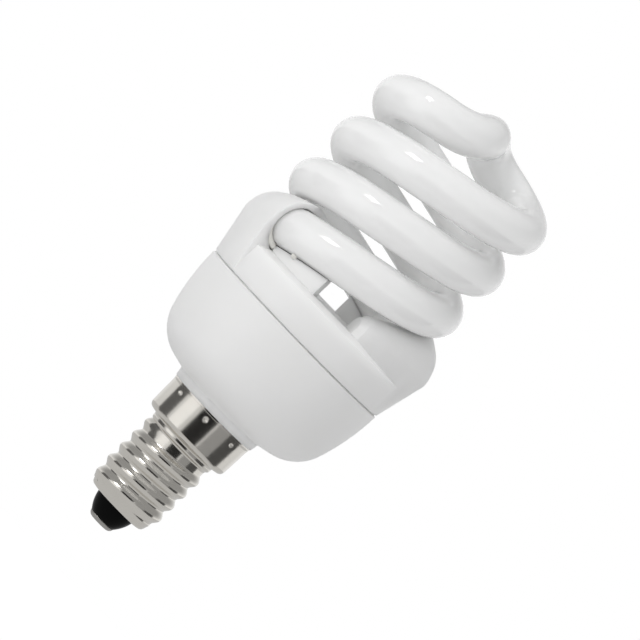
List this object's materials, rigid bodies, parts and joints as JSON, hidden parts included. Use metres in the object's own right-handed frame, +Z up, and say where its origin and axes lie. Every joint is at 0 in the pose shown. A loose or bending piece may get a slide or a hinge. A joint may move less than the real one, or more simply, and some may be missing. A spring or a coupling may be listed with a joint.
{
  "type": "compact fluorescent bulb",
  "caption": "Compact fluorescent bulb: small screw cap, white bowl housing, horned cover and white double spiral tube.",
  "frame": {"origin": "centre of the flat tip of the centre contact, on the lamp's axis", "axes": "+Z up the lamp's axis from the cap to the spiral's top; the first horn reaches furthest towards -X"},
  "size_m": [0.042, 0.0382, 0.0942],
  "materials": {
    "cap_metal": "bright nickel plate",
    "cap_insulator": "black moulded glass",
    "contact_metal": "dull plated",
    "solder": "bright solder",
    "housing_plastic": "fine satin moulding",
    "tube_glass": "clear glass over white phosphor, opaque",
    "cement": "cured paste",
    "board": "bare laminate",
    "capacitor_sleeve": "shrunk sleeve",
    "ferrite": "sintered",
    "bobbin": "moulded",
    "copper_wire": "enamelled",
    "epoxy_black": "moulded",
    "film_body": "dipped",
    "resistor_body": "lacquered",
    "thermistor_body": "lacquered",
    "tinned_wire": "tinned",
    "insulated_wire": "insulated"
  },
  "bodies": {
    "root": {"cap_shell": "cap_metal", "cap_insulator": "cap_insulator", "centre_contact": "contact_metal", "contact_solder": "solder", "lower_housing": "housing_plastic", "upper_cover": "housing_plastic", "spiral_tube": "tube_glass", "cement_left": "cement", "cement_right": "cement", "circuit_board": "board", "bulk_capacitor": "capacitor_sleeve", "choke_core": "ferrite", "choke_bobbin": "bobbin", "choke_winding": "copper_wire", "ring_core": "ferrite", "ring_windings": "copper_wire", "transistors": "epoxy_black", "rectifier_diodes": "epoxy_black", "drum_core": "ferrite", "drum_winding": "copper_wire", "fuse_resistor": "resistor_body", "resonance_capacitor": "film_body", "filter_capacitor": "film_body", "start_capacitor": "film_body", "resistors": "resistor_body", "trigger_diode": "epoxy_black", "thermistor": "thermistor_body", "wrap_pins": "tinned_wire", "filament_leads": "tinned_wire", "centre_lead": "insulated_wire", "side_lead": "tinned_wire"}
  },
  "joints": []
}
